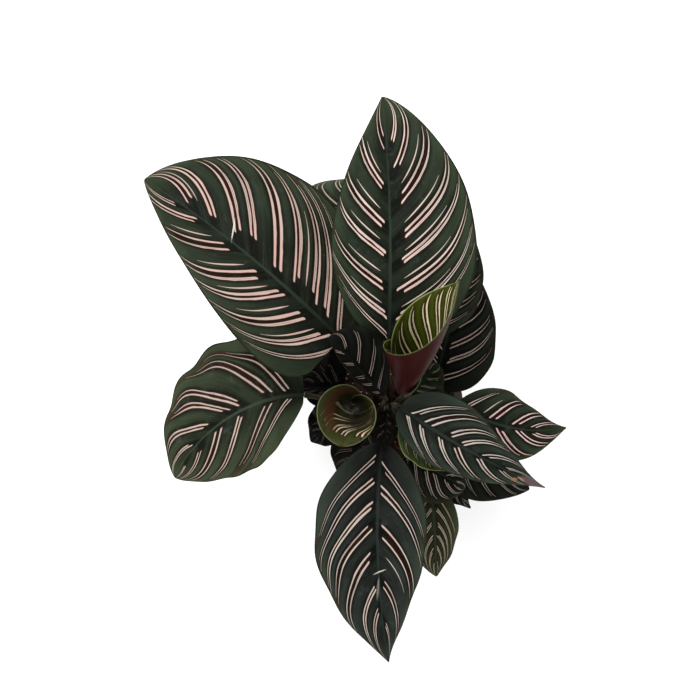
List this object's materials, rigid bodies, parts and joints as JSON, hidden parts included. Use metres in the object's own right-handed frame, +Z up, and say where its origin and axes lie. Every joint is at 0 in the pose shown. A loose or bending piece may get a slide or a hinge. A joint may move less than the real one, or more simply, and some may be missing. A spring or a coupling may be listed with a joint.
{
  "type": "pinstripe calathea",
  "caption": "Potted foliage plant: dark oval leaves with paired pink stripes on thin stalks, and rolled young leaves, in a round nursery pot.",
  "frame": {"origin": "centre of the pot's flat foot, on the surface that it stands on", "axes": "+Z up along the pot's axis; in the picture, +X is to the right and +Y to the top of the picture"},
  "size_m": [0.2655, 0.3333, 0.3183],
  "materials": {
    "pot": "satin",
    "soil": "rough, crumbly",
    "leaf": "satin, striped",
    "young_leaf": "satin, striped"
  },
  "bodies": {
    "root": {"pot": "pot", "soil": "soil", "leaf_01": "leaf", "leaf_02": "leaf", "leaf_03": "leaf", "leaf_04": "leaf", "leaf_05": "leaf", "leaf_06": "leaf", "leaf_07": "leaf", "leaf_08": "leaf", "leaf_09": "leaf", "leaf_10": "leaf", "leaf_11": "leaf", "leaf_12": "leaf", "leaf_13": "leaf", "leaf_14": "leaf", "leaf_15": "leaf", "leaf_16": "leaf", "leaf_17": "leaf", "leaf_18": "leaf", "leaf_19": "leaf", "young_leaf": "young_leaf", "furled_leaf_1": "young_leaf", "furled_leaf_2": "young_leaf"}
  },
  "joints": []
}
